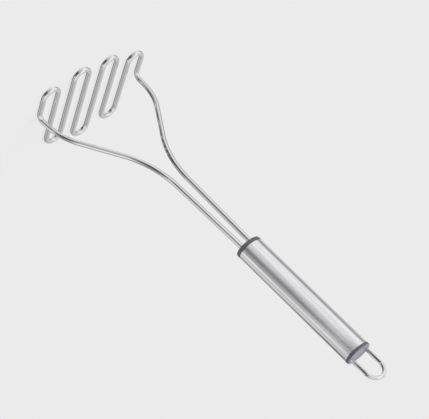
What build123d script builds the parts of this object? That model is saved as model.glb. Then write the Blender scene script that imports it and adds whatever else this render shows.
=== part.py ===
from build123d import *
import math
import os

# A potato masher standing on its wire grid, with its handle upright. All sizes are in millimetres.
# The origin is on the table under the middle of the grid. +Z runs up the handle, +X runs across
# the grid towards one leg, and +Y runs along the strands, to the side that the handle stands over.

# Mashing wire: one bent rod that makes the grid and both legs
wire_diameter = 4.0
strand_pitch = 14.0
strand_count = 8
grid_half_depth = 36.7
# How far each end loop reaches, counted outwards from the middle loop
loop_reach_shares = (1.0, 1.0, 0.842, 0.797)
foot_y = 3.1
foot_bend_radius = 4.8
shoulder_height = 24.6
shoulder_y = 3.6
shoulder_draw_in = 1.6
shoulder_bend_share = 0.56
waist_height = 81.9
waist_half_spread = 6.7
waist_bend_share = 0.34
leg_half_spread = 4.65
collar_lead = 6.0
collar_bend_share = 0.1

# Coined paddles that lock the two ends of the wire in the handle
paddle_length = 9.0
paddle_width = 7.0
paddle_thickness = 2.4
paddle_edge_round = 0.8
paddle_end_wall = 5.0

# Handle tube, of oval section
handle_y = 7.9
tube_front = 180.6
tube_length = 106.8
tube_width = 21.8
tube_depth = 17.2
tube_wall = 0.8
tube_edge_round = 0.25

# Front cap, threaded on both legs
collar_length = 3.2
collar_proud = 0.15
collar_edge_round = 1.1
front_spigot_length = 12.0

# Anchor: two moulded halves closed over the ends of the wire
anchor_length = 34.0

# Rear cap
flange_length = 2.4
flange_proud = 0.2
flange_edge_round = 0.9
rear_spigot_length = 15.0
channel_mouth_relief = 1.0

# Hanging loop and the lock plug that traps its two feet
loop_wire_diameter = 3.0
loop_wall_gap = 0.4
loop_standout = 23.2
loop_foot_gap = 0.8
loop_foot_bend_radius = 2.6
lock_plate_thickness = 2.5
lock_stem_diameter = 4.8
lock_stem_length = 11.0
lock_stem_chamfer = 0.5

# Fits
tube_clearance = 0.05
wire_clearance = 0.08
seat_clearance = 0.1
end_clearance = 0.3
overrun = 1.0

# Values that follow from the sizes above
wire_radius = wire_diameter / 2
loop_radius = strand_pitch / 2
outer_strand_x = strand_pitch * (strand_count - 1) / 2
grid_z = wire_radius
collar_front = tube_front - collar_length
front_spigot_end = tube_front + front_spigot_length
anchor_end = front_spigot_end + anchor_length
wire_end = anchor_end - paddle_end_wall
tube_rear = tube_front + tube_length
cap_end = tube_rear + flange_length
rear_spigot_end = tube_rear - rear_spigot_length
loop_wire_radius = loop_wire_diameter / 2
loop_tip = cap_end + loop_standout - loop_wire_radius
loop_foot_z = rear_spigot_end - seat_clearance - loop_wire_radius
lock_plate_top = loop_foot_z - loop_wire_radius - seat_clearance
bore_half_width = tube_width / 2 - tube_wall
bore_half_depth = tube_depth / 2 - tube_wall
loop_half_spread = bore_half_width - loop_wall_gap - loop_wire_radius


def mirrored(points):
    """The same points on the other side of the plane x = 0."""
    return [(-x, y, z) for x, y, z in points]


def oval(half_width, half_depth, bottom, height):
    """An upright oval block about the axis of the handle."""
    return Pos(0, handle_y, bottom) * extrude(Ellipse(half_width, half_depth), height)


def round_bar(x, bottom, top, radius):
    """An upright round bar in the middle plane of the handle."""
    return Pos(x, handle_y, bottom) * extrude(Circle(radius), top - bottom)


def bend_radius(before, corner, after, share):
    """Radius of a bend that starts the given share of the shorter run away from its corner."""
    run_in = Vector(*corner) - Vector(*before)
    run_out = Vector(*after) - Vector(*corner)
    half_turn = math.radians(run_in.get_angle(run_out)) / 2
    return share * min(run_in.length, run_out.length) / math.tan(half_turn)


def leg_corners():
    """Corners of the right leg, from its foot in the grid to its end in the handle."""
    foot = (outer_strand_x, foot_y, grid_z)
    shoulder = (outer_strand_x - shoulder_draw_in, shoulder_y, grid_z + shoulder_height)
    waist = (waist_half_spread, handle_y, grid_z + waist_height)
    collar = (leg_half_spread, handle_y, collar_front - collar_lead)
    end = (leg_half_spread, handle_y, wire_end)
    return [foot, shoulder, waist, collar, end]


def loop_centre_y(index):
    """Centre of the round end of one loop. Odd loops close on the +Y side, even ones on -Y."""
    reach = grid_half_depth * loop_reach_shares[abs(index)]
    side = 1 if index % 2 else -1
    return side * (reach - loop_radius), side


def grid_edges():
    """The zigzag of strands and half-round loops between the two outer strands."""
    edges = []
    last_loop = (strand_count - 2) // 2
    for index in range(-last_loop, last_loop + 1):
        centre_y, side = loop_centre_y(index)
        x = index * strand_pitch
        start = (x - loop_radius, centre_y, grid_z)
        crest = (x, centre_y + side * loop_radius, grid_z)
        stop = (x + loop_radius, centre_y, grid_z)
        edges += ThreePointArc(start, crest, stop).edges()
        if index < last_loop:
            next_y, next_side = loop_centre_y(index + 1)
            edges += Line(stop, (x + loop_radius, next_y, grid_z)).edges()
    return edges


def leg_edges(side):
    """The outer strand on one side and the leg that rises from it."""
    strand_start = (outer_strand_x, loop_centre_y((strand_count - 2) // 2)[0], grid_z)
    points = [strand_start] + leg_corners()
    shares = (shoulder_bend_share, waist_bend_share, collar_bend_share)
    radii = [foot_bend_radius]
    for number, share in enumerate(shares, start=2):
        radii.append(bend_radius(points[number - 1], points[number], points[number + 1], share))
    if side < 0:
        points = mirrored(points)
    return FilletPolyline(*points, radius=radii).edges()


def paddle(side):
    """The flattened end of one leg: thin across the handle and wide from front to back."""
    block = Box(paddle_thickness, paddle_width, paddle_length)
    block = fillet(block.edges().filter_by(Axis.X), paddle_edge_round)
    return Pos(side * leg_half_spread, handle_y, wire_end - paddle_length / 2) * block


def make_mashing_wire():
    """The grid and both legs, bent from one rod, with a coined paddle at each end."""
    path = Wire(leg_edges(-1) + grid_edges() + leg_edges(1))
    section = Plane(origin=path @ 0, z_dir=path % 0) * Circle(wire_radius)
    rod = sweep(section, path=path)
    return rod + paddle(-1) + paddle(1)


def make_front_cap():
    """A moulded collar that closes the front of the tube, with a bore for each leg."""
    collar = oval(tube_width / 2 + collar_proud, tube_depth / 2 + collar_proud, collar_front, collar_length)
    collar = fillet(collar.faces().sort_by(Axis.Z)[0].edges(), collar_edge_round)
    spigot = oval(bore_half_width - tube_clearance, bore_half_depth - tube_clearance,
                  tube_front, front_spigot_length)
    cap = collar + spigot
    for side in (-1, 1):
        cap -= round_bar(side * leg_half_spread, collar_front - overrun, front_spigot_end + overrun,
                         wire_radius + wire_clearance)
    return cap


def make_handle_tube():
    """The thin oval sleeve that the hand holds."""
    outer = oval(tube_width / 2, tube_depth / 2, tube_front, tube_length)
    outer = fillet(outer.edges().filter_by(GeomType.ELLIPSE), tube_edge_round)
    inner = oval(bore_half_width, bore_half_depth, tube_front - overrun, tube_length + 2 * overrun)
    return outer - inner


def make_anchor_half(side):
    """One half of the moulded block that grips both paddles, split in the plane of the legs."""
    body = oval(bore_half_width - tube_clearance, bore_half_depth - tube_clearance,
                front_spigot_end, anchor_length)
    for leg in (-1, 1):
        x = leg * leg_half_spread
        body -= round_bar(x, front_spigot_end - overrun, wire_end, wire_radius + wire_clearance)
        pocket = Box(paddle_thickness + 2 * wire_clearance, paddle_width + 2 * wire_clearance,
                     paddle_length + 2 * wire_clearance)
        body -= Pos(x, handle_y, wire_end - paddle_length / 2) * pocket
    keep = Keep.TOP if side > 0 else Keep.BOTTOM
    return split(body, Plane(origin=(0, handle_y, 0), z_dir=(0, 1, 0)), keep=keep)


def make_rear_cap():
    """The moulded end cap, flat outside, with open channels for the two legs of the loop."""
    head = oval(tube_width / 2 + flange_proud, tube_depth / 2 + flange_proud, tube_rear, flange_length)
    head = fillet(head.faces().sort_by(Axis.Z)[-1].edges(), flange_edge_round)
    spigot = oval(bore_half_width - tube_clearance, bore_half_depth - tube_clearance,
                  rear_spigot_end, rear_spigot_length)
    cap = head + spigot
    channel_radius = loop_wire_radius + wire_clearance
    for side in (-1, 1):
        cap -= round_bar(side * loop_half_spread, rear_spigot_end - overrun, cap_end + overrun,
                         channel_radius)
        slot = Box(tube_width / 2, 2 * channel_radius, rear_spigot_length + overrun)
        slot_x = side * (loop_half_spread + tube_width / 4)
        cap -= Pos(slot_x, handle_y, (rear_spigot_end - overrun + tube_rear) / 2) * slot
        mouth = Box(2 * (channel_radius + channel_mouth_relief), 2 * channel_radius, 2 * channel_mouth_relief)
        cap -= Pos(side * loop_half_spread, handle_y, rear_spigot_end) * mouth
    stem_hole = lock_stem_diameter / 2 + tube_clearance
    stem_end = lock_plate_top + lock_stem_length + end_clearance
    return cap - round_bar(0, rear_spigot_end - overrun, stem_end, stem_hole)


def make_hanging_loop():
    """The wire loop that the masher hangs by, with its two feet bent in under the spigot."""
    arc_z = loop_tip - loop_half_spread
    foot_x = lock_stem_diameter / 2 + loop_foot_gap
    points = [(foot_x, handle_y, loop_foot_z), (loop_half_spread, handle_y, loop_foot_z),
              (loop_half_spread, handle_y, arc_z)]
    right = FilletPolyline(*points, radius=[loop_foot_bend_radius]).edges()
    left = FilletPolyline(*mirrored(points), radius=[loop_foot_bend_radius]).edges()
    tip = ThreePointArc(points[-1], (0, handle_y, loop_tip), (-loop_half_spread, handle_y, arc_z)).edges()
    path = Wire(right + tip + left)
    section = Plane(origin=path @ 0, z_dir=path % 0) * Circle(loop_wire_radius)
    return sweep(section, path=path)


def make_loop_lock():
    """A plug pressed into the rear spigot, whose plate holds the feet of the loop up."""
    plate = oval(bore_half_width - tube_clearance, bore_half_depth - tube_clearance,
                 lock_plate_top - lock_plate_thickness, lock_plate_thickness)
    stem = round_bar(0, lock_plate_top, lock_plate_top + lock_stem_length, lock_stem_diameter / 2)
    stem = chamfer(stem.faces().sort_by(Axis.Z)[-1].edges(), lock_stem_chamfer)
    return plate + stem


nodes = {
    "mashing_wire": make_mashing_wire(),
    "front_cap": make_front_cap(),
    "anchor_half_front": make_anchor_half(-1),
    "anchor_half_back": make_anchor_half(1),
    "handle_tube": make_handle_tube(),
    "rear_cap": make_rear_cap(),
    "hanging_loop": make_hanging_loop(),
    "loop_lock": make_loop_lock(),
}

os.makedirs("parts", exist_ok=True)
for name, shape in nodes.items():
    export_step(shape, f"parts/{name}.step")
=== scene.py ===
"""The looks of a wire potato masher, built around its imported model.

Every length is in metres, in the frame of the part: the origin is on the table under the middle of
the grid, +Z runs up the handle, +X across the grid towards one leg, and +Y along the strands, to
the side that the handle stands over.
"""
import logging
import math
from collections.abc import Callable
from dataclasses import dataclass, field
from enum import Enum
from typing import ClassVar

import bpy
import numpy as np
from mathutils import Matrix, Vector


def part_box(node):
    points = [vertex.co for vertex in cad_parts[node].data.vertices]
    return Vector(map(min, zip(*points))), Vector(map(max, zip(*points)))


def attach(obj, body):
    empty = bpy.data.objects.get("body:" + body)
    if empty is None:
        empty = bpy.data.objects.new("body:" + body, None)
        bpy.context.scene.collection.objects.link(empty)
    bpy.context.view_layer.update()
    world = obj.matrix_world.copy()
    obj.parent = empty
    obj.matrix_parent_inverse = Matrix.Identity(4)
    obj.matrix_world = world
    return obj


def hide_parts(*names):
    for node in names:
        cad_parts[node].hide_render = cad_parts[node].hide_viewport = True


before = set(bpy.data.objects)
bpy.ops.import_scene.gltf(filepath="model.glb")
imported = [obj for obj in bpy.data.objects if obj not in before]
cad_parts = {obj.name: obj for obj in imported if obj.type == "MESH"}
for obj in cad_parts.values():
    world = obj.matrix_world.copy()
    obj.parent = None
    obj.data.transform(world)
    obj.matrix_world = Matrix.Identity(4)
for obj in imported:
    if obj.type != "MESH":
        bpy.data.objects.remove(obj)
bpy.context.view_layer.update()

log = logging.getLogger("masher")

MM = 0.001
BODY = "root"

MIRRORED = np.array([-1.0, 1.0, 1.0])
SMALLEST_BEND = 1e-9
STEEP = 0.9


class Slot(Enum):
    """The material slots of the record, one of which each new piece names."""

    POLISHED = "polished_steel"
    SATIN = "satin_steel"


class Look(Enum):
    """The finishes, by the names of their materials."""

    WIRE = "polished_wire"
    LOOP = "polished_loop"
    SLEEVE = "satin_sleeve"
    CAP = "moulded_cap"
    INNER = "moulded_inner"
    FLOOR = "studio_floor"


@dataclass(frozen=True)
class Surface:
    """A smooth mesh on a grid of two parameters, whose columns run round a closed section.

    Args:
        name: name of the piece.
        points: places of the grid, as rows x columns x 3.
        wrap_rows: whether the last row joins the first, as on a tube with a wall.
        fields: arrays of rows x columns x 3, each kept in the mesh under its name.
    """

    name: str
    points: np.ndarray
    wrap_rows: bool = False
    fields: dict[str, np.ndarray] = field(default_factory=dict)

    def quads(self) -> np.ndarray:
        """Corners of every four-sided face, wound so that faces point outwards.

        Returns:
            Vertex numbers, one row for each face.
        """
        rows, columns = self.points.shape[:2]
        row = np.arange(rows if self.wrap_rows else rows - 1)[:, None]
        column = np.arange(columns)[None, :]
        next_row = (row + 1) % rows
        next_column = (column + 1) % columns
        corners = (row * columns + column, row * columns + next_column,
                   next_row * columns + next_column, next_row * columns + column)
        spread = [np.broadcast_to(corner, (len(row), columns)) for corner in corners]
        return np.stack(spread, -1).reshape(-1, len(corners))

    def end_fans(self) -> np.ndarray:
        """Triangles that close the first and the last row, each about a middle vertex of its own.

        Returns:
            Vertex numbers, one row for each triangle. The two middle vertices come after the
            grid's own.
        """
        rows, columns = self.points.shape[:2]
        column = np.arange(columns)
        after = (column + 1) % columns
        first_middle = np.full(columns, rows * columns)
        first = np.stack([after, column, first_middle], -1)
        last_row = (rows - 1) * columns
        last = np.stack([last_row + column, last_row + after, first_middle + 1], -1)
        return np.concatenate([first, last])

    def with_middles(self, values: np.ndarray) -> np.ndarray:
        """The grid's values as one list, followed by the means of the two rows that are closed.

        Args:
            values: rows x columns x 3.

        Returns:
            One row for each vertex of the mesh.
        """
        flat = values.reshape(-1, 3)
        if self.wrap_rows:
            return flat
        return np.concatenate([flat, values[[0, -1]].mean(axis=1)])

    def build(self) -> bpy.types.Object:
        """Makes the object, with its place in its mesh.

        Returns:
            The new object, linked to the scene.
        """
        faces = self.quads().tolist()
        if not self.wrap_rows:
            faces += self.end_fans().tolist()
        mesh = bpy.data.meshes.new(self.name)
        mesh.from_pydata(self.with_middles(self.points).tolist(), [], faces)
        mesh.polygons.foreach_set("use_smooth", np.ones(len(mesh.polygons), bool))
        for name, values in self.fields.items():
            attribute = mesh.attributes.new(name, "FLOAT_VECTOR", "POINT")
            flat = self.with_middles(values).astype(np.float32)
            attribute.data.foreach_set("vector", flat.ravel())
        mesh.update()
        return linked(bpy.data.objects.new(self.name, mesh))


@dataclass(frozen=True)
class WireLine:
    """Samples along a wire.

    Args:
        points: places on the centreline.
        tangents: direction of the wire at each place.
        sides: a direction square to the wire that doesn't twist about it.
        bends: direction of the bend's centre, over the bend's radius, and zero on a straight run.
    """

    points: np.ndarray
    tangents: np.ndarray
    sides: np.ndarray
    bends: np.ndarray

    def travelled(self) -> np.ndarray:
        """Distance of each sample from the first one, along the wire."""
        steps = np.linalg.norm(np.diff(self.points, axis=0), axis=1)
        return np.concatenate([[0.0], np.cumsum(steps)])

    def eased_bends(self, reach: float) -> np.ndarray:
        """The bends, spread out so that a section changes over a distance and not at once.

        Each value is the mean of the values within the reach, taken from a running sum.

        Args:
            reach: distance on each side that a value is spread over.

        Returns:
            The spread bends.
        """
        travelled = self.travelled()
        widths = np.gradient(travelled)[:, None]
        running = np.concatenate([np.zeros((1, 3)), np.cumsum(self.bends * widths, axis=0)])
        edges = np.concatenate([[0.0], np.cumsum(widths[:, 0])])
        low, high = travelled - reach, travelled + reach
        sums = [np.interp(high, edges, total) - np.interp(low, edges, total) for total in running.T]
        return np.stack(sums, -1) / (2 * reach)


@dataclass(frozen=True)
class BentPath:
    """A wire's centreline: straight runs joined by tangent arcs.

    Args:
        corners: where the runs would meet, one row for each corner, the two ends included.
        radii: radius of the arc at each inner corner.
        step: distance between two samples along the wire.
        fewest_on_run: the least samples on a straight run.
        fewest_on_arc: the least samples on an arc.
    """

    corners: np.ndarray
    radii: tuple[float, ...]
    step: float
    fewest_on_run: int = 2
    fewest_on_arc: int = 4

    def run(self, start: np.ndarray, end: np.ndarray, way: np.ndarray, side: np.ndarray,
            with_end: bool) -> WireLine:
        """Samples on a straight run, at start + share (end - start).

        Args:
            start: where the run begins.
            end: where it ends.
            way: its direction.
            side: the frame's side vector, which stays as it is.
            with_end: whether the end itself is a sample.

        Returns:
            The samples.
        """
        length = float(np.linalg.norm(end - start))
        count = max(self.fewest_on_run, math.ceil(length / self.step))
        share = np.linspace(0, 1, count, endpoint=with_end)[:, None]
        points = start + share * (end - start)
        return WireLine(points, np.broadcast_to(way, points.shape),
                        np.broadcast_to(side, points.shape), np.zeros(points.shape))

    def sampled(self) -> WireLine:
        """Walks along the path with a frame that turns only where the wire is bent.

        In each arc of radius r from a run along a towards a turn n, a point is
        start + r (sin t a + (1 - cos t) n) and its direction is cos t a + sin t n. The frame's side
        vector turns with it about the arc's axis, by the formula of Rodrigues.

        Returns:
            The samples along the whole wire.
        """
        runs = np.diff(self.corners, axis=0)
        ways = runs / np.linalg.norm(runs, axis=1)[:, None]
        here = self.corners[0]
        side = first_side(ways[0])
        lines = []
        bends = zip(ways[:-1], ways[1:], self.corners[1:-1], self.radii)
        for before, after, corner, radius in bends:
            turn = math.acos(float(np.clip(before @ after, -1, 1)))
            start = corner - before * radius * math.tan(turn / 2)
            lines.append(self.run(here, start, before, side, with_end=False))
            inward = unit(after - (before @ after) * before)
            axis = np.cross(before, inward)
            count = max(self.fewest_on_arc, math.ceil(radius * turn / self.step))
            angle = np.linspace(0, turn, count, endpoint=False)[:, None]
            lines.append(WireLine(
                start + radius * (np.sin(angle) * before + (1 - np.cos(angle)) * inward),
                np.cos(angle) * before + np.sin(angle) * inward,
                turned(side, axis, angle),
                (np.cos(angle) * inward - np.sin(angle) * before) / radius))
            side = turned(side, axis, np.array([[turn]]))[0]
            here = start + radius * (math.sin(turn) * before + (1 - math.cos(turn)) * inward)
        lines.append(self.run(here, self.corners[-1], ways[-1], side, with_end=True))
        parts = zip(*((line.points, line.tangents, line.sides, line.bends) for line in lines))
        return WireLine(*(np.concatenate(part) for part in parts))


def linked(made: bpy.types.Object) -> bpy.types.Object:
    """Puts a new object in the scene, and gives it back."""
    bpy.context.scene.collection.objects.link(made)
    return made


def unit(vector: np.ndarray) -> np.ndarray:
    """The vector at length one."""
    return vector / np.linalg.norm(vector)


def first_side(way: np.ndarray) -> np.ndarray:
    """A direction square to the given one, in the plane of X and Z where it can be."""
    guide = np.array([1.0, 0.0, 0.0]) if abs(way[0]) < STEEP else np.array([0.0, 0.0, 1.0])
    return unit(guide - (guide @ way) * way)


def turned(vector: np.ndarray, axis: np.ndarray, angle: np.ndarray) -> np.ndarray:
    """Turns a vector v about a unit axis k: v cos t + (k x v) sin t + k (k.v) (1 - cos t).

    Args:
        vector: what is turned.
        axis: the axis, at length one.
        angle: the angles t, one row for each.

    Returns:
        The turned vector, one row for each angle.
    """
    across = np.cross(axis, vector)
    along = axis * (axis @ vector)
    return vector * np.cos(angle) + across * np.sin(angle) + along * (1 - np.cos(angle))


def eased(share: np.ndarray) -> np.ndarray:
    """A share from 0 to 1 with a soft start and a soft end: s s (3 - 2 s)."""
    share = np.clip(share, 0, 1)
    return share * share * (3 - 2 * share)


def drawn_wire(name: str, line: WireLine, radius: float, columns: int,
               flattening: float) -> Surface:
    """A round wire along a line, drawn thinner towards the centre of each bend as bent wire is.

    A place on the skin is p + r (cos a s + sin a b), where s is the line's side vector and b is
    square to it and to the wire. The part of that offset that points along the bend is then
    shortened by the flattening times the wire's radius over the bend's.

    Args:
        name: name of the piece.
        line: the samples along the wire.
        radius: radius of the wire.
        columns: how many places go round the section.
        flattening: how strongly a bend flattens the section.

    Returns:
        The surface, with a field that gives the place on the wire: round it twice, and along it.
    """
    angle = np.linspace(0, 2 * math.pi, columns, endpoint=False)[None, :, None]
    sides = line.sides[:, None, :]
    others = np.cross(line.tangents, line.sides)[:, None, :]
    offsets = radius * (np.cos(angle) * sides + np.sin(angle) * others)
    bends = line.eased_bends(radius)[:, None, :]
    strength = np.linalg.norm(bends, axis=-1, keepdims=True)
    ways = bends / np.maximum(strength, SMALLEST_BEND)
    along_bend = (offsets * ways).sum(-1, keepdims=True)
    offsets = offsets - flattening * radius * strength * along_bend * ways
    skin = line.points[:, None, :] + offsets
    place = (radius * np.cos(angle[..., 0]), radius * np.sin(angle[..., 0]),
             line.travelled()[:, None])
    spread = [np.broadcast_to(part, skin.shape[:2]) for part in place]
    return Surface(name, skin, fields={"wire_place": np.stack(spread, -1)})


def coat(piece: bpy.types.Object, material: bpy.types.Material) -> None:
    """Puts one material in every slot of a piece, and makes the slot where there is none.

    Args:
        piece: the object.
        material: what it is coated with.
    """
    if not piece.material_slots:
        piece.data.materials.append(material)
    for slot in piece.material_slots:
        slot.material = material


@dataclass
class NewPiece:
    """A sub-assembly with a mesh of its own, which stands for a node of the model.

    The class names the node, the record's material slot and the finish of each.
    """

    node: ClassVar[str]
    slot: ClassVar[Slot]
    look: ClassVar[Look]

    def build(self) -> bpy.types.Object:
        """Makes the piece in the place of the solid that it stands for."""
        raise NotImplementedError

    def dress(self, piece: bpy.types.Object, finishes: dict[Look, bpy.types.Material]) -> None:
        """Puts the sub-assembly's own finish on its piece."""
        coat(piece, finishes[self.look])

    def install(self, finishes: dict[Look, bpy.types.Material]) -> bpy.types.Object:
        """Builds and dresses the piece, parents it to the body it rides on, and hides the solid it
        stands for.

        Args:
            finishes: the finished materials.

        Returns:
            The piece.
        """
        piece = self.build()
        self.dress(piece, finishes)
        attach(piece, BODY)
        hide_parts(self.node)
        return piece


@dataclass
class MashingWire(NewPiece):
    """The bent rod: the zigzag grid, the two legs and the flattened ends inside the handle."""

    node: ClassVar[str] = "mashing_wire"
    slot: ClassVar[Slot] = Slot.POLISHED
    look: ClassVar[Look] = Look.WIRE

    radius: float = 2.0 * MM
    pitch: float = 14.0 * MM
    last_loop: int = 3
    grid_half_depth: float = 36.7 * MM
    reach_shares: tuple[float, ...] = (1.0, 1.0, 0.842, 0.797)
    foot_y: float = 3.1 * MM
    foot_bend_radius: float = 4.8 * MM
    shoulder_height: float = 24.6 * MM
    shoulder_y: float = 3.6 * MM
    shoulder_draw_in: float = 1.6 * MM
    waist_height: float = 81.9 * MM
    waist_half_spread: float = 6.7 * MM
    leg_half_spread: float = 4.65 * MM
    bend_shares: tuple[float, ...] = (0.56, 0.34, 0.1)
    handle_y: float = 7.9 * MM
    collar_bend_height: float = 171.4 * MM
    paddle_length: float = 9.0 * MM
    paddle_ease: float = 2.5 * MM
    paddle_thickness: float = 2.4 * MM
    paddle_width: float = 7.0 * MM
    flattening: float = 0.12
    columns: int = 40
    step: float = 0.9 * MM

    def leg_corners(self, wire_end: float) -> np.ndarray:
        """Corners of the leg on the +X side, from its foot in the grid to its end in the handle.

        Args:
            wire_end: height of its end.

        Returns:
            One row for each corner.
        """
        foot_x = self.pitch * (self.last_loop + 0.5)
        return np.array([
            (foot_x, self.foot_y, self.radius),
            (foot_x - self.shoulder_draw_in, self.shoulder_y, self.radius + self.shoulder_height),
            (self.waist_half_spread, self.handle_y, self.radius + self.waist_height),
            (self.leg_half_spread, self.handle_y, self.collar_bend_height),
            (self.leg_half_spread, self.handle_y, wire_end),
        ])

    def leg_radii(self, corners: np.ndarray) -> list[float]:
        """Radii of the leg's bends: the foot's own, then shares of the shorter run at each bend.

        Args:
            corners: the leg's corners.

        Returns:
            A radius for each corner but the last, which is the wire's end.
        """
        radii = [self.foot_bend_radius]
        runs = np.diff(corners, axis=0)
        for before, after, share in zip(runs[:-1], runs[1:], self.bend_shares):
            half_turn = math.acos(float(unit(before) @ unit(after))) / 2
            shorter = min(np.linalg.norm(before), np.linalg.norm(after))
            radii.append(float(share * shorter / math.tan(half_turn)))
        return radii

    def grid_corners(self) -> np.ndarray:
        """Two corners for each round end of the zigzag. Odd loops close on the +Y side.

        Returns:
            One row for each corner, from -X to +X.
        """
        corners = []
        for loop in range(-self.last_loop, self.last_loop + 1):
            side = 1 if loop % 2 else -1
            end_y = side * self.grid_half_depth * self.reach_shares[abs(loop)]
            corners += [((loop + half) * self.pitch, end_y, self.radius) for half in (-0.5, 0.5)]
        return np.array(corners)

    def path(self, wire_end: float) -> BentPath:
        """The whole rod, from one flattened end to the other.

        Args:
            wire_end: height of its ends.

        Returns:
            The rod's path, whose leg on the -X side mirrors the other.
        """
        right = self.leg_corners(wire_end)
        left = right[::-1] * MIRRORED
        grid = self.grid_corners()
        leg_radii = self.leg_radii(right)
        radii = leg_radii[::-1] + [self.pitch / 2] * len(grid) + leg_radii
        return BentPath(np.concatenate([left, grid, right]), tuple(radii), self.step)

    def coined(self, surface: Surface, wire_end: float) -> Surface:
        """The rod with each end pressed flat: thin across the handle and wide from front to back.

        Above the start of the paddle the offset from the leg's axis is scaled along X and Y, by
        amounts that ease in with height.

        Args:
            surface: the round rod.
            wire_end: height of its ends.

        Returns:
            The rod with its ends pressed flat.
        """
        skin = surface.points.copy()
        axis_x = np.sign(skin[..., 0]) * self.leg_half_spread
        share = eased((skin[..., 2] - (wire_end - self.paddle_length)) / self.paddle_ease)
        across = 1 + share * (self.paddle_thickness / (2 * self.radius) - 1)
        deep = 1 + share * (self.paddle_width / (2 * self.radius) - 1)
        skin[..., 0] = axis_x + (skin[..., 0] - axis_x) * across
        skin[..., 1] = self.handle_y + (skin[..., 1] - self.handle_y) * deep
        return Surface(surface.name, skin, fields=surface.fields)

    def build(self) -> bpy.types.Object:
        """Makes the rod, as high as the solid.

        Returns:
            The new object.
        """
        wire_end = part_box(self.node)[1].z
        line = self.path(wire_end).sampled()
        skin = drawn_wire("bent_rod", line, self.radius, self.columns, self.flattening)
        return self.coined(skin, wire_end).build()


@dataclass
class GripSleeve(NewPiece):
    """The thin oval tube that the hand holds, with its two rounded edges."""

    node: ClassVar[str] = "handle_tube"
    slot: ClassVar[Slot] = Slot.SATIN
    look: ClassVar[Look] = Look.SLEEVE

    wall: float = 0.8 * MM
    edge_round: float = 0.25 * MM
    columns: int = 160
    edge_rows: int = 7
    wall_rows: int = 40

    def wall_outline(self, length: float) -> np.ndarray:
        """Once round the cut wall, with a quarter circle at each outer edge.

        Args:
            length: length of the sleeve.

        Returns:
            Pairs of depth below the skin and height above the front edge.
        """
        turn = np.linspace(0, math.pi / 2, self.edge_rows)
        small = self.edge_round
        front = np.stack([small * (1 - np.sin(turn)), small * (1 - np.cos(turn))], -1)
        rear = np.stack([small * (1 - np.cos(turn)), length - small * (1 - np.sin(turn))], -1)
        rise = np.linspace(2 * small, length - 2 * small, self.wall_rows)
        skin = np.stack([np.zeros_like(rise), rise], -1)
        bore = np.stack([np.full_like(rise, self.wall), rise[::-1]], -1)
        inner_edges = np.array([(self.wall, length), (self.wall, 0.0)])
        return np.concatenate([front, skin, rear, inner_edges[:1], bore, inner_edges[1:]])

    def build(self) -> bpy.types.Object:
        """Makes the sleeve: at depth d the section is an ellipse whose half axes are less by d.

        Returns:
            The new object.
        """
        low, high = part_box(self.node)
        centre = (low + high) / 2
        half_width, half_depth = (high.x - low.x) / 2, (high.y - low.y) / 2
        outline = self.wall_outline(high.z - low.z)
        angle = np.linspace(0, 2 * math.pi, self.columns, endpoint=False)[None, :]
        depth, rise = outline[:, :1], outline[:, 1:]
        places = np.stack([centre.x + (half_width - depth) * np.cos(angle),
                           centre.y + (half_depth - depth) * np.sin(angle),
                           low.z + rise + 0 * angle], -1)
        return Surface("grip_sleeve", places, wrap_rows=True).build()


@dataclass
class HangingLoop(NewPiece):
    """The U of thinner wire at the rear, with its two feet turned in inside the cap."""

    node: ClassVar[str] = "hanging_loop"
    slot: ClassVar[Slot] = Slot.POLISHED
    look: ClassVar[Look] = Look.LOOP

    foot_x: float = 3.2 * MM
    foot_bend_radius: float = 2.6 * MM
    flattening: float = 0.12
    columns: int = 36
    step: float = 0.6 * MM

    def build(self) -> bpy.types.Object:
        """Makes the loop, with its spread, tip and thickness from the solid's box.

        Returns:
            The new object.
        """
        low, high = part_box(self.node)
        radius = (high.y - low.y) / 2
        spread = high.x - radius
        level, tip = low.z + radius, high.z - radius
        y = (low.y + high.y) / 2
        outline = [(self.foot_x, level), (spread, level), (spread, tip)]
        right = np.array([(x, y, z) for x, z in outline])
        left = right * MIRRORED
        corners = np.concatenate([left, right[::-1]])
        radii = (self.foot_bend_radius, spread, spread, self.foot_bend_radius)
        line = BentPath(corners, radii, self.step).sampled()
        return drawn_wire("loop_wire", line, radius, self.columns, self.flattening).build()


@dataclass
class HandleFittings:
    """The moulded pieces that close and fill the handle. They keep their solids."""

    caps: tuple[str, ...] = ("front_cap", "rear_cap")
    inner: tuple[str, ...] = ("anchor_half_front", "anchor_half_back", "loop_lock")

    def dress(self, finishes: dict[Look, bpy.types.Material]) -> dict[str, Look]:
        """Puts the caps' finish on the caps, and the plain one on what the handle hides.

        Args:
            finishes: the finished materials.

        Returns:
            The finish of each node.
        """
        looks = {node: Look.CAP for node in self.caps} | {node: Look.INNER for node in self.inner}
        for node, look in looks.items():
            coat(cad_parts[node], finishes[look])
        return looks


Feed = float | bpy.types.NodeSocket
Colour = tuple[float, float, float]
Tint = tuple[float, ...] | bpy.types.NodeSocket

FLOAT = "NodeSocketFloat"
VECTOR = "NodeSocketVector"
RISING, FALLING = (0.0, 1.0), (1.0, 0.0)
WHITE = (1.0, 1.0, 1.0, 1.0)
MIX_FIRST, MIX_SECOND, MIX_RESULT = 6, 7, 2


@dataclass(frozen=True)
class Grain:
    """How a noise is broken up.

    Args:
        detail: how many finer layers are added.
        roughness: how strong the finer layers are.
        distortion: how far it is warped.
    """

    detail: float
    roughness: float = 0.5
    distortion: float = 0.0


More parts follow.
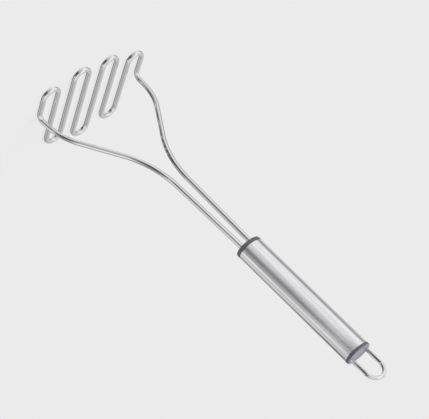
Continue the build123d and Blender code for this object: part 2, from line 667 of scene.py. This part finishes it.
class Nodes:
    """A thin layer over a node tree that places nodes and links them by socket."""

    def __init__(self, tree: bpy.types.NodeTree,
                 material: bpy.types.Material | None = None) -> None:
        """Starts on a tree, whose own nodes are cleared.

        Args:
            tree: the node tree.
            material: the material it belongs to, if any.
        """
        self.tree = tree
        self.material = material
        tree.nodes.clear()

    def add(self, kind: str, inputs: dict[str | int, object] | None = None,
            **settings: object) -> bpy.types.Node:
        """Places a node.

        Args:
            kind: Blender's name of the node type.
            inputs: for each socket, a value or another node's output.
            settings: attributes of the node itself.

        Returns:
            The new node.
        """
        node = self.tree.nodes.new(kind)
        for name, value in settings.items():
            setattr(node, name, value)
        for name, value in (inputs or {}).items():
            if isinstance(value, bpy.types.NodeSocket):
                self.tree.links.new(value, node.inputs[name])
            else:
                node.inputs[name].default_value = value
        return node

    def maths(self, operation: str, first: Feed, second: Feed = 0.0) -> bpy.types.NodeSocket:
        """The result of one step of arithmetic."""
        return self.add("ShaderNodeMath", {0: first, 1: second}, operation=operation).outputs[0]

    def weighed(self, first: tuple[Feed, float],
                second: tuple[Feed, float]) -> bpy.types.NodeSocket:
        """The sum of two values, each times its own weight."""
        return self.maths("ADD", self.maths("MULTIPLY", *first), self.maths("MULTIPLY", *second))

    def ramp(self, value: Feed, low: Feed, high: Feed,
             result: tuple[float, float] = RISING) -> bpy.types.NodeSocket:
        """A value carried smoothly from one range to another, and held at its ends.

        Args:
            value: the value.
            low: where it starts to rise.
            high: where it has risen.
            result: what it is carried to at the two ends.

        Returns:
            The carried value.
        """
        inputs = {"Value": value, "From Min": low, "From Max": high, "To Min": result[0],
                  "To Max": result[1]}
        made = self.add("ShaderNodeMapRange", inputs, interpolation_type="SMOOTHSTEP")
        return made.outputs["Result"]

    def noise(self, place: bpy.types.NodeSocket, scale: Feed, grain: Grain) -> bpy.types.NodeSocket:
        """A noise, from 0 to 1.

        Args:
            place: where it is read.
            scale: how many of its cells go into a length of one.
            grain: how it is broken up.

        Returns:
            The noise.
        """
        made = self.add("ShaderNodeTexNoise", {
            "Vector": place, "Scale": scale, "Detail": grain.detail, "Roughness": grain.roughness,
            "Distortion": grain.distortion})
        return made.outputs["Fac"]

    def effect(self, name: str, inputs: dict[str, object]) -> bpy.types.Node:
        """Places a shared effect, with values of its own."""
        return self.add("ShaderNodeGroup", inputs, node_tree=bpy.data.node_groups[name])

    def place(self) -> bpy.types.NodeSocket:
        """Where on the piece a point is, in its own coordinates."""
        return self.add("ShaderNodeTexCoord").outputs["Object"]

    def blend(self, share: bpy.types.NodeSocket, first: Tint,
              second: Tint) -> bpy.types.NodeSocket:
        """A colour between two, by a share that changes over the surface.

        Args:
            share: 0 for the first colour and 1 for the second.
            first: the first colour.
            second: the second colour.

        Returns:
            The colour.
        """
        made = self.add("ShaderNodeMix", {"Factor": share, MIX_FIRST: first, MIX_SECOND: second},
                        data_type="RGBA")
        return made.outputs[MIX_RESULT]

    def bumped(self, height: bpy.types.NodeSocket, distance: float,
               strength: float) -> bpy.types.NodeSocket:
        """A normal that follows a height.

        Args:
            height: the height, from 0 to 1.
            distance: how high 1 is.
            strength: how much of it is kept.

        Returns:
            The normal.
        """
        made = self.add("ShaderNodeBump", {"Height": height, "Distance": distance,
                                           "Strength": strength})
        return made.outputs["Normal"]


def opaque(colour: Colour) -> tuple[float, ...]:
    """A colour with its fourth value."""
    return (*colour, 1.0)


def new_group(name: str, inputs: dict[str, tuple[str, float | None]],
              outputs: tuple[str, ...]) -> tuple[Nodes, bpy.types.NodeOutputs]:
    """Starts a shader node group with named sockets.

    Args:
        name: name of the group.
        inputs: for each input, its socket type and its default.
        outputs: the names of its outputs, which are all numbers.

    Returns:
        The group's nodes, and the sockets of what it is given.
    """
    group = bpy.data.node_groups.new(name, "ShaderNodeTree")
    nodes = Nodes(group)
    for label, (kind, default) in inputs.items():
        socket = group.interface.new_socket(label, in_out="INPUT", socket_type=kind)
        if default is not None:
            socket.default_value = default
    for label in outputs:
        group.interface.new_socket(label, in_out="OUTPUT", socket_type=FLOAT)
    return nodes, nodes.add("NodeGroupInput").outputs


FINE_LINES = Grain(detail=3.0, roughness=0.65)
BROAD_LINES = Grain(detail=2.0)
FINE_HEIGHT, BROAD_HEIGHT = 0.6, 0.4


def build_line_group() -> None:
    """Fine lines that run along Z: noise whose X and Y count lines and whose Z is drawn out.

    The group puts out a value for the fine lines, one for the broad ones and their height.
    """
    nodes, given = new_group(
        "brush_lines",
        {"Vector": (VECTOR, None), "Line Width": (FLOAT, 0.2 * MM), "Draw Out": (FLOAT, 120.0),
         "Broad Share": (FLOAT, 6.0)},
        ("Fine", "Broad", "Height"))
    count = nodes.maths("DIVIDE", 1.0, given["Line Width"])
    slow = nodes.maths("DIVIDE", count, given["Draw Out"])
    scale = nodes.add("ShaderNodeCombineXYZ", {"X": count, "Y": count, "Z": slow}).outputs[0]
    drawn = nodes.add("ShaderNodeVectorMath", {0: given["Vector"], 1: scale},
                      operation="MULTIPLY").outputs[0]
    share = nodes.maths("DIVIDE", 1.0, given["Broad Share"])
    wide = nodes.add("ShaderNodeVectorMath", {0: drawn, "Scale": share},
                     operation="SCALE").outputs[0]
    fine = nodes.noise(drawn, 1.0, FINE_LINES)
    broad = nodes.noise(wide, 1.0, BROAD_LINES)
    height = nodes.weighed((fine, FINE_HEIGHT), (broad, BROAD_HEIGHT))
    nodes.add("NodeGroupOutput", {"Fine": fine, "Broad": broad, "Height": height})


SMEARS = Grain(detail=4.0, roughness=0.6, distortion=0.8)
BARE_FROM, COVER_REACH, SMEAR_EDGE = 0.85, 0.5, 0.25


def build_handling_group() -> None:
    """Soft smears left by hands and washing: warped noise, held to a share of the surface.

    The group puts out a mask from 0 to 1.
    """
    nodes, given = new_group(
        "handling_smears",
        {"Vector": (VECTOR, None), "Smear Size": (FLOAT, 12.0 * MM), "Cover": (FLOAT, 0.5)},
        ("Mask",))
    scale = nodes.maths("DIVIDE", 1.0, given["Smear Size"])
    noise = nodes.noise(given["Vector"], scale, SMEARS)
    low = nodes.maths("SUBTRACT", BARE_FROM, nodes.maths("MULTIPLY", given["Cover"], COVER_REACH))
    high = nodes.maths("ADD", low, SMEAR_EDGE)
    nodes.add("NodeGroupOutput", {"Mask": nodes.ramp(noise, low, high)})


PATCHES = Grain(detail=2.0)
HAIR_SLANT = (0.5, 0.9, 0.3)
HAIR_STRETCH = (1.0, 0.25, 1.0)


def build_scratch_group() -> None:
    """Hairline scratches: the borders of drawn-out cells, broken up by noise.

    The group puts out a mask from 0 to 1.
    """
    nodes, given = new_group(
        "hairlines",
        {"Vector": (VECTOR, None), "Spacing": (FLOAT, 4.0 * MM), "Hair Width": (FLOAT, 0.02),
         "Cover": (FLOAT, 0.4)},
        ("Mask",))
    scale = nodes.maths("DIVIDE", 1.0, given["Spacing"])
    slant = nodes.add("ShaderNodeMapping", {"Vector": given["Vector"], "Rotation": HAIR_SLANT,
                                            "Scale": HAIR_STRETCH})
    cells = nodes.add("ShaderNodeTexVoronoi", {"Vector": slant.outputs[0], "Scale": scale},
                      feature="DISTANCE_TO_EDGE")
    hair = nodes.add("ShaderNodeMapRange", {
        "Value": cells.outputs["Distance"], "From Min": 0.0, "From Max": given["Hair Width"],
        "To Min": 1.0, "To Max": 0.0})
    patches = nodes.noise(given["Vector"], scale, PATCHES)
    kept = nodes.maths("LESS_THAN", patches, given["Cover"])
    nodes.add("NodeGroupOutput", {"Mask": nodes.maths("MULTIPLY", hair.outputs["Result"], kept)})


TOOL_MARKS = Grain(detail=2.0, roughness=0.7)
TONE_DRIFT = Grain(detail=3.0)


def build_moulding_group() -> None:
    """The fine even grain that a moulded plastic takes from its tool, and a slow drift of tone.

    The group puts out the drift and the grain's height.
    """
    nodes, given = new_group(
        "moulded_grain",
        {"Vector": (VECTOR, None), "Grain": (FLOAT, 0.12 * MM), "Drift": (FLOAT, 6.0 * MM)},
        ("Tone", "Height"))
    height = nodes.noise(given["Vector"], nodes.maths("DIVIDE", 1.0, given["Grain"]), TOOL_MARKS)
    tone = nodes.noise(given["Vector"], nodes.maths("DIVIDE", 1.0, given["Drift"]), TONE_DRIFT)
    nodes.add("NodeGroupOutput", {"Tone": tone, "Height": height})


@dataclass(frozen=True)
class Finish:
    """What every finish shares: how its material is started and closed.

    Args:
        look: which finish it is, whose value names the material.
    """

    look: Look

    def start(self) -> Nodes:
        """Starts an empty material of this finish's name.

        Returns:
            Its nodes.
        """
        material = bpy.data.materials.new(self.look.value)
        material.use_nodes = True
        return Nodes(material.node_tree, material)

    def close(self, nodes: Nodes, sockets: dict[str, object]) -> bpy.types.Material:
        """Ends the material in one surface shader.

        Args:
            nodes: the material's nodes.
            sockets: values and outputs for the shader's sockets.

        Returns:
            The finished material.
        """
        shader = nodes.add("ShaderNodeBsdfPrincipled", sockets)
        nodes.add("ShaderNodeOutputMaterial", {"Surface": shader.outputs[0]})
        return nodes.material


@dataclass(frozen=True)
class PolishedSteel(Finish):
    """Bright drawn wire: long drawing lines, hairlines and a few dull smears."""

    bright: Colour = (0.80, 0.80, 0.805)
    dull: Colour = (0.70, 0.70, 0.705)
    smooth: float = 0.085
    rough: float = 0.16
    line_width: float = 0.25 * MM
    line_draw_out: float = 160.0
    broad_share: float = 5.0
    line_height: float = 0.0025 * MM
    line_strength: float = 0.35
    smear_size: float = 14 * MM
    smear_weight: float = 0.6
    hair_spacing: float = 5 * MM
    hair_weight: float = 0.5

    def build(self) -> bpy.types.Material:
        """Makes the material. Its lines follow the wire by the mesh's own field.

        Returns:
            The finished material.
        """
        nodes = self.start()
        along = nodes.add("ShaderNodeAttribute", attribute_name="wire_place").outputs["Vector"]
        place = nodes.place()
        lines = nodes.effect("brush_lines", {
            "Vector": along, "Line Width": self.line_width, "Draw Out": self.line_draw_out,
            "Broad Share": self.broad_share}).outputs
        smears = nodes.effect("handling_smears", {"Vector": place, "Smear Size": self.smear_size})
        hairs = nodes.effect("hairlines", {"Vector": place, "Spacing": self.hair_spacing})
        colour = nodes.blend(lines["Broad"], opaque(self.bright), opaque(self.dull))
        worn = nodes.weighed((smears.outputs["Mask"], self.smear_weight),
                             (hairs.outputs["Mask"], self.hair_weight))
        roughness = nodes.ramp(worn, 0.0, 1.0, (self.smooth, self.rough))
        normal = nodes.bumped(lines["Height"], self.line_height, self.line_strength)
        return self.close(nodes, {"Base Color": colour, "Metallic": 1.0, "Roughness": roughness,
                                  "Normal": normal})


@dataclass(frozen=True)
class SatinSteel(Finish):
    """Sheet steel brushed lengthwise, with a slight waviness and finger smears."""

    bright: Colour = (0.84, 0.835, 0.85)
    dull: Colour = (0.64, 0.635, 0.65)
    smooth: float = 0.13
    rough: float = 0.20
    rough_at: float = 0.9
    across_lines: float = 0.9
    line_width: float = 0.22 * MM
    line_draw_out: float = 60.0
    broad_share: float = 4.0
    line_height: float = 0.018 * MM
    line_strength: float = 0.3
    fine_tone: float = 0.4
    broad_tone: float = 0.6
    bright_at: float = 0.32
    dull_at: float = 0.68
    smear_size: float = 16 * MM
    smear_weight: float = 0.5
    line_weight: float = 0.4
    worn_from: float = 225 * MM
    worn_to: float = 285 * MM
    worn_rough: float = 0.03

    def build(self) -> bpy.types.Material:
        """Makes the material: its lines run up the handle, and it is duller where it is held.

        Returns:
            The finished material.
        """
        nodes = self.start()
        place = nodes.place()
        lines = nodes.effect("brush_lines", {
            "Vector": place, "Line Width": self.line_width, "Draw Out": self.line_draw_out,
            "Broad Share": self.broad_share}).outputs
        smears = nodes.effect("handling_smears", {"Vector": place, "Smear Size": self.smear_size})
        tone = nodes.weighed((lines["Fine"], self.fine_tone), (lines["Broad"], self.broad_tone))
        share = nodes.ramp(tone, self.bright_at, self.dull_at)
        colour = nodes.blend(share, opaque(self.bright), opaque(self.dull))
        worn = nodes.weighed((smears.outputs["Mask"], self.smear_weight),
                             (lines["Fine"], self.line_weight))
        height = nodes.add("ShaderNodeSeparateXYZ", {0: place}).outputs["Z"]
        held = nodes.ramp(height, self.worn_from, self.worn_to)
        roughness = nodes.maths("ADD",
                                nodes.ramp(worn, 0.0, self.rough_at, (self.smooth, self.rough)),
                                nodes.maths("MULTIPLY", held, self.worn_rough))
        normal = nodes.bumped(lines["Height"], self.line_height, self.line_strength)
        round_it = nodes.add("ShaderNodeTangent", direction_type="RADIAL", axis="Z").outputs[0]
        return self.close(nodes, {
            "Base Color": colour, "Metallic": 1.0, "Roughness": roughness,
            "Anisotropic": self.across_lines, "Tangent": round_it, "Normal": normal})


@dataclass(frozen=True)
class MouldedPlastic(Finish):
    """A moulded plastic with the fine grain of its tool."""

    colour: Colour = (0.60, 0.60, 0.57)
    faded: Colour = (0.66, 0.66, 0.63)
    roughness: float = 0.5
    roughness_swing: float = 0.05
    swing_from: float = 0.3
    swing_to: float = 0.7
    grain_height: float = 0.01 * MM
    grain_strength: float = 0.4
    specular: float = 0.5

    def tinted(self, nodes: Nodes, place: bpy.types.NodeSocket,
               tone: bpy.types.NodeSocket) -> bpy.types.NodeSocket:
        """The colour of the surface, which drifts with the tone and may change with the place."""
        return nodes.blend(tone, opaque(self.colour), opaque(self.faded))

    def build(self) -> bpy.types.Material:
        """Makes the material: its tint and its roughness drift together.

        Returns:
            The finished material.
        """
        nodes = self.start()
        place = nodes.place()
        grain = nodes.effect("moulded_grain", {"Vector": place}).outputs
        swing = (self.roughness - self.roughness_swing, self.roughness + self.roughness_swing)
        roughness = nodes.ramp(grain["Tone"], self.swing_from, self.swing_to, swing)
        normal = nodes.bumped(grain["Height"], self.grain_height, self.grain_strength)
        return self.close(nodes, {
            "Base Color": self.tinted(nodes, place, grain["Tone"]), "Roughness": roughness,
            "Normal": normal, "Specular IOR Level": self.specular})


@dataclass(frozen=True)
class CapPlastic(MouldedPlastic):
    """The caps' plastic: dark round the rim, and painted paler on the flat face that closes the
    handle, as painted light for the lamp that falls on that face.
    """

    colour: Colour = (0.112, 0.107, 0.130)
    faded: Colour = (0.142, 0.137, 0.163)
    roughness: float = 0.34
    # Painted light: the face's colours are paler than the rim's to stand in for the lamp lighting
    # the top face.
    face: Colour = (0.25, 0.246, 0.285)
    lit_face_paler: Colour = (0.30, 0.296, 0.335)
    face_height: float = 289.6 * MM
    face_ease: float = 0.35 * MM

    def tinted(self, nodes: Nodes, place: bpy.types.NodeSocket,
               tone: bpy.types.NodeSocket) -> bpy.types.NodeSocket:
        """The rim's colour up to the height where the face begins, and above it the face's paler
        colour, which is painted light.

        Args:
            nodes: the material's nodes.
            place: where on the piece a point is.
            tone: the drift of tone.

        Returns:
            The colour.
        """
        height = nodes.add("ShaderNodeSeparateXYZ", {0: place}).outputs["Z"]
        # Painted light: above this height the top face takes its paler, lit-looking colour.
        painted_light_share = nodes.ramp(height, self.face_height - self.face_ease, self.face_height)
        rim = super().tinted(nodes, place, tone)
        flat = nodes.blend(tone, opaque(self.face), opaque(self.lit_face_paler))
        return nodes.blend(painted_light_share, rim, flat)


@dataclass(frozen=True)
class StudioFloor(Finish):
    """A pale floor that shows white to the lens and keeps a soft shadow.

    Args:
        white: how bright the lens sees it.
        shadow_share: the part of the white that is lit, and so can be shaded.
    """

    white: float
    shadow_share: float = 0.12

    def build(self) -> bpy.types.Material:
        """Makes the material: a part of the white is lit, and the rest is for camera rays alone.

        Returns:
            The finished material.
        """
        nodes = self.start()
        lit = self.white * self.shadow_share
        diffuse = nodes.add("ShaderNodeBsdfDiffuse", {"Color": opaque((lit,) * 3)})
        glow = nodes.add("ShaderNodeEmission", {"Color": WHITE, "Strength": self.white - lit})
        camera_ray = nodes.add("ShaderNodeLightPath").outputs["Is Camera Ray"]
        bounce = nodes.add("ShaderNodeBsdfDiffuse", {"Color": opaque((self.white,) * 3)})
        seen = nodes.add("ShaderNodeAddShader", {0: diffuse.outputs[0], 1: glow.outputs[0]})
        either = nodes.add("ShaderNodeMixShader",
                           {0: camera_ray, 1: bounce.outputs[0], 2: seen.outputs[0]})
        nodes.add("ShaderNodeOutputMaterial", {"Surface": either.outputs[0]})
        return nodes.material


@dataclass(frozen=True)
class Panel:
    """A soft panel of the studio that the metal mirrors, or a dark card for a level below zero.

    Args:
        azimuth: compass place of its middle in degrees, counted from +X towards +Y.
        half_width: half of its width in degrees.
        edge: how many degrees its upright edges take to fade.
        level: how much it adds to the level of the room, or takes from it.
        lowest: where its lower edge is, in degrees above the horizon.
        highest: where its upper edge is.
        rise: how many degrees its lower and upper edges take to fade.
    """

    azimuth: float
    half_width: float
    edge: float
    level: float
    lowest: float = -90.0
    highest: float = 90.0
    rise: float = 10.0


PANELS = (
    # Broad light on the +X and +Y side, stronger from 20 degrees below the horizon up.
    Panel(azimuth=50, half_width=34, edge=34, level=0.2, lowest=-50),
    Panel(azimuth=50, half_width=34, edge=34, level=0.16, lowest=-20.5, rise=3),
    # A dark card at its edge, on the +X side.
    Panel(azimuth=13, half_width=12, edge=14, level=-0.48, lowest=-30, highest=0),
    # The dark core that the handle mirrors, and a card like it about the horizon.
    Panel(azimuth=130, half_width=17, edge=17, level=-0.38, highest=-13.2, rise=3),
    Panel(azimuth=133, half_width=20, edge=20, level=-0.36, lowest=-9, highest=16, rise=5),
    # The grey beside the core, at two heights as well.
    Panel(azimuth=159, half_width=14, edge=6, level=-0.24, highest=-15.0, rise=4.0),
    Panel(azimuth=160, half_width=12, edge=8, level=-0.22, lowest=-9, highest=16, rise=5),
    # A narrow light on the -X side, and what lies beyond it at the handle's heights.
    Panel(azimuth=184, half_width=7, edge=6, level=0.38, lowest=-32, highest=-8),
    Panel(azimuth=200, half_width=5, edge=6, level=-0.08, lowest=-24, highest=-8, rise=4),
    Panel(azimuth=225, half_width=18, edge=12, level=0.07, lowest=-24, highest=-8, rise=4),
    Panel(azimuth=282, half_width=32, edge=20, level=-0.36, lowest=-24, highest=-8),
    # A card about the horizon, and two that start just above what the handle mirrors.
    Panel(azimuth=146, half_width=18, edge=16, level=-0.45, lowest=-4, highest=14, rise=6),
    Panel(azimuth=114, half_width=48, edge=18, level=-0.86, lowest=-12.5, highest=-6, rise=0.3),
    Panel(azimuth=172, half_width=14, edge=12, level=-0.45, lowest=-12.5, highest=-11, rise=0.3),
    # Light just below these, which keeps the rear of the handle pale, and a thin card below it.
    Panel(azimuth=128, half_width=50, edge=24, level=0.22, lowest=-14.2, highest=-12.6, rise=0.8),
    Panel(azimuth=155, half_width=27, edge=16, level=0.34, lowest=-13.5, highest=-12.6, rise=0.4),
    Panel(azimuth=131, half_width=10, edge=10, level=-0.13, lowest=-15.8, highest=-13.2, rise=1.6),
    # Low cards.
    Panel(azimuth=156, half_width=34, edge=30, level=-0.3, highest=-26, rise=8),
    Panel(azimuth=145, half_width=75, edge=50, level=-0.3, highest=-44),
    Panel(azimuth=256, half_width=44, edge=30, level=-0.4, lowest=-86, highest=-26, rise=8),
    # Cards and a light about and above the horizon on the -X side.
    Panel(azimuth=186, half_width=10, edge=10, level=-0.4, lowest=-6, highest=10, rise=6),
    Panel(azimuth=240, half_width=14, edge=16, level=-0.28, lowest=-7, highest=32, rise=6),
    Panel(azimuth=202, half_width=24, edge=18, level=-0.18, lowest=-7, highest=18, rise=8),
    Panel(azimuth=188, half_width=34, edge=24, level=0.32, lowest=24, highest=60, rise=6),
    Panel(azimuth=238, half_width=55, edge=40, level=-0.08, lowest=-7, highest=60, rise=6),
    # The dark line that the straight stretches of the legs mirror, in two steps.
    Panel(azimuth=130, half_width=18, edge=12, level=-0.19, lowest=-24, highest=-19.3, rise=1.2),
    Panel(azimuth=130, half_width=18, edge=12, level=-0.14, lowest=-21.2, highest=-18.9, rise=1.4),
    # Two more low cards and a high one.
    Panel(azimuth=118, half_width=30, edge=24, level=-0.15, highest=-58, rise=8),
    Panel(azimuth=213, half_width=16, edge=14, level=-0.24, lowest=-84, highest=-46, rise=8),
    Panel(azimuth=140, half_width=18, edge=14, level=-0.12, lowest=12, highest=34, rise=8),
    # What the hanging loop's legs mirror, and two thin cards below it.
    Panel(azimuth=262, half_width=34, edge=22, level=0.38, lowest=-12.1, highest=-10.4, rise=0.6),
    Panel(azimuth=252, half_width=11, edge=12, level=-0.28, lowest=-15, highest=-12.2, rise=2),
    Panel(azimuth=242, half_width=18, edge=14, level=-0.34, lowest=-13.5, highest=-12.2, rise=0.8),
    # The ceiling.
    Panel(azimuth=0, half_width=181, edge=1, level=0.15, lowest=52),
)


def build_panel_group() -> None:
    """How much of one panel a direction meets: a soft window in azimuth times one in height.

    The group puts out what the panel adds to the light from that direction.
    """
    plain = Panel(azimuth=0.0, half_width=30.0, edge=10.0, level=1.0)
    nodes, given = new_group(
        "studio_panel",
        {"Direction": (VECTOR, None)} | {label: (FLOAT, value)
                                         for label, value in panel_values(plain).items()},
        ("Light",))
    parts = nodes.add("ShaderNodeSeparateXYZ", {0: given["Direction"]}).outputs
    azimuth = nodes.maths("RADIANS", given["Azimuth"])
    cosine, sine = nodes.maths("COSINE", azimuth), nodes.maths("SINE", azimuth)
    along = nodes.maths("ADD", nodes.maths("MULTIPLY", parts["X"], cosine),
                        nodes.maths("MULTIPLY", parts["Y"], sine))
    across = nodes.maths("SUBTRACT", nodes.maths("MULTIPLY", parts["Y"], cosine),
                         nodes.maths("MULTIPLY", parts["X"], sine))
    apart = nodes.maths("DEGREES", nodes.maths("ABSOLUTE", nodes.maths("ARCTAN2", across, along)))
    height = nodes.maths("DEGREES", nodes.maths("ARCSINE", parts["Z"]))

    def window(angle: Feed, edge: Feed, softness: Feed,
               result: tuple[float, float]) -> bpy.types.NodeSocket:
        """A smooth step at an edge.

        Args:
            angle: the angle, in degrees.
            edge: where the middle of the step is.
            softness: how many degrees it takes.
            result: what it goes from and to.

        Returns:
            The share.
        """
        half = nodes.maths("MULTIPLY", softness, 0.5)
        return nodes.ramp(angle, nodes.maths("SUBTRACT", edge, half),
                          nodes.maths("ADD", edge, half), result)

    sideways = window(apart, given["Half Width"], given["Edge"], FALLING)
    above = window(height, given["Lowest"], given["Rise"], RISING)
    below = window(height, given["Highest"], given["Rise"], FALLING)
    share = nodes.maths("MULTIPLY", sideways, nodes.maths("MULTIPLY", above, below))
    nodes.add("NodeGroupOutput", {"Light": nodes.maths("MULTIPLY", share, given["Level"])})


def panel_values(panel: Panel) -> dict[str, float]:
    """The values of a panel for its group.

    Args:
        panel: the panel.

    Returns:
        Its values, by the names of the group's sockets.
    """
    return {"Azimuth": panel.azimuth, "Half Width": panel.half_width, "Edge": panel.edge,
            "Lowest": panel.lowest, "Highest": panel.highest, "Rise": panel.rise,
            "Level": panel.level}


def compass(azimuth: float, height: float) -> Vector:
    """A direction from two angles in degrees: (cos a cos h, sin a cos h, sin h).

    Args:
        azimuth: the angle a, from +X towards +Y.
        height: the angle h, above the horizon.

    Returns:
        The direction, at length one.
    """
    azimuth, height = math.radians(azimuth), math.radians(height)
    return Vector((math.cos(azimuth) * math.cos(height), math.sin(azimuth) * math.cos(height),
                   math.sin(height)))


@dataclass
class Studio:
    """The floor, the lamp and the room round the masher."""

    white: float = 0.831
    fill_level: float = 0.48
    room_level: float = 0.72
    darkest: float = 0.05
    floor_radius: float = 12.0
    floor_columns: int = 96
    key_azimuth: float = 35.0
    key_height: float = 60.0
    key_spread: float = 40.0
    key_level: float = 0.60
    panels: tuple[Panel, ...] = PANELS

    def build_floor(self) -> None:
        """A round floor: a ring of places about the origin and one face, with its own finish."""
        angle = np.linspace(0, 2 * math.pi, self.floor_columns, endpoint=False)
        rim = np.stack([np.cos(angle), np.sin(angle), 0 * angle], -1) * self.floor_radius
        mesh = bpy.data.meshes.new("studio_floor")
        mesh.from_pydata(rim.tolist(), [], [list(range(self.floor_columns))])
        floor = linked(bpy.data.objects.new("studio_floor", mesh))
        coat(floor, StudioFloor(Look.FLOOR, self.white).build())
        floor.visible_glossy = False

    def build_key(self) -> None:
        """A broad soft lamp far off, whose strength gives its level on what it faces."""
        data = bpy.data.lights.new("key", "SUN")
        data.angle = math.radians(self.key_spread)
        data.energy = self.key_level * math.pi
        lamp = linked(bpy.data.objects.new("key", data))
        source = compass(self.key_azimuth, self.key_height)
        lamp.rotation_mode = "QUATERNION"
        lamp.rotation_quaternion = source.to_track_quat("Z", "Y")
        lamp.visible_glossy = False

    def build_room(self) -> None:
        """The world: white to the lens, soft panels to the metal, and an even fill to the rest."""
        world = bpy.data.worlds.new("studio")
        bpy.context.scene.world = world
        world.use_nodes = True
        world.cycles.sampling_method = "NONE"
        nodes = Nodes(world.node_tree)
        direction = nodes.add("ShaderNodeTexCoord").outputs["Generated"]
        total = self.room_level
        for panel in self.panels:
            made = nodes.effect("studio_panel", {"Direction": direction} | panel_values(panel))
            total = nodes.maths("ADD", total, made.outputs["Light"])
        total = nodes.maths("MAXIMUM", total, self.darkest)
        mirrored, fill, seen = (
            nodes.add("ShaderNodeBackground", {"Color": WHITE, "Strength": level}).outputs[0]
            for level in (total, self.fill_level, self.white))
        rays = nodes.add("ShaderNodeLightPath").outputs
        lit = nodes.add("ShaderNodeMixShader", {0: rays["Is Glossy Ray"], 1: fill, 2: mirrored})
        shown = nodes.add("ShaderNodeMixShader",
                          {0: rays["Is Camera Ray"], 1: lit.outputs[0], 2: seen})
        nodes.add("ShaderNodeOutputWorld", {"Surface": shown.outputs[0]})


@dataclass
class Viewpoint:
    """The camera of the photograph, as a place, an aim, a roll and a lens."""

    aim: tuple[float, float, float] = (2.73 * MM, 7.9 * MM, 139.54 * MM)
    distance: float = 1037.88 * MM
    azimuth: float = 130.969
    elevation: float = 20.585
    roll: float = 134.23
    lens: float = 120.591
    sensor: float = 36.0
    nearest: float = 0.05
    farthest: float = 60.0

    def build(self) -> bpy.types.Object:
        """Makes the camera and hands it to the scene.

        Its own right and up are those of a level camera, turned by the roll about its line of
        sight.

        Returns:
            The camera.
        """
        data = bpy.data.cameras.new("camera")
        data.lens = self.lens
        data.sensor_width = self.sensor
        data.clip_start, data.clip_end = self.nearest, self.farthest
        back = compass(self.azimuth, self.elevation)
        right = Vector((0, 0, 1)).cross(back).normalized()
        up = back.cross(right)
        roll = math.radians(self.roll)
        turned_right = right * math.cos(roll) + up * math.sin(roll)
        turned_up = back.cross(turned_right)
        place = Vector(self.aim) + back * self.distance
        axes = Matrix((turned_right, turned_up, back)).transposed().to_4x4()
        camera = linked(bpy.data.objects.new("camera", data))
        camera.matrix_world = Matrix.Translation(place) @ axes
        bpy.context.scene.camera = camera
        return camera


GROUPS: tuple[Callable[[], None], ...] = (
    build_line_group, build_handling_group, build_scratch_group, build_moulding_group,
    build_panel_group)

FINISHES = (
    PolishedSteel(Look.WIRE),
    PolishedSteel(Look.LOOP, smooth=0.058, rough=0.10),
    SatinSteel(Look.SLEEVE),
    CapPlastic(Look.CAP),
    MouldedPlastic(Look.INNER),
)


def main() -> None:
    """Builds the finishes, the pieces and the studio in order, and reports each piece."""
    logging.basicConfig(level=logging.INFO, format="%(message)s")
    for build_group in GROUPS:
        build_group()
    finishes = {finish.look: finish.build() for finish in FINISHES}
    for sub_assembly in (MashingWire(), GripSleeve(), HangingLoop()):
        piece = sub_assembly.install(finishes)
        log.info("%s stands for %s, %d faces", piece.name, sub_assembly.node,
                 len(piece.data.polygons))
    for node, look in HandleFittings().dress(finishes).items():
        log.info("%s is dressed as %s", node, look.value)
    studio = Studio()
    studio.build_floor()
    studio.build_key()
    studio.build_room()
    Viewpoint().build()
    bpy.context.scene.view_settings.view_transform = "Standard"


if __name__ == "__main__":
    main()
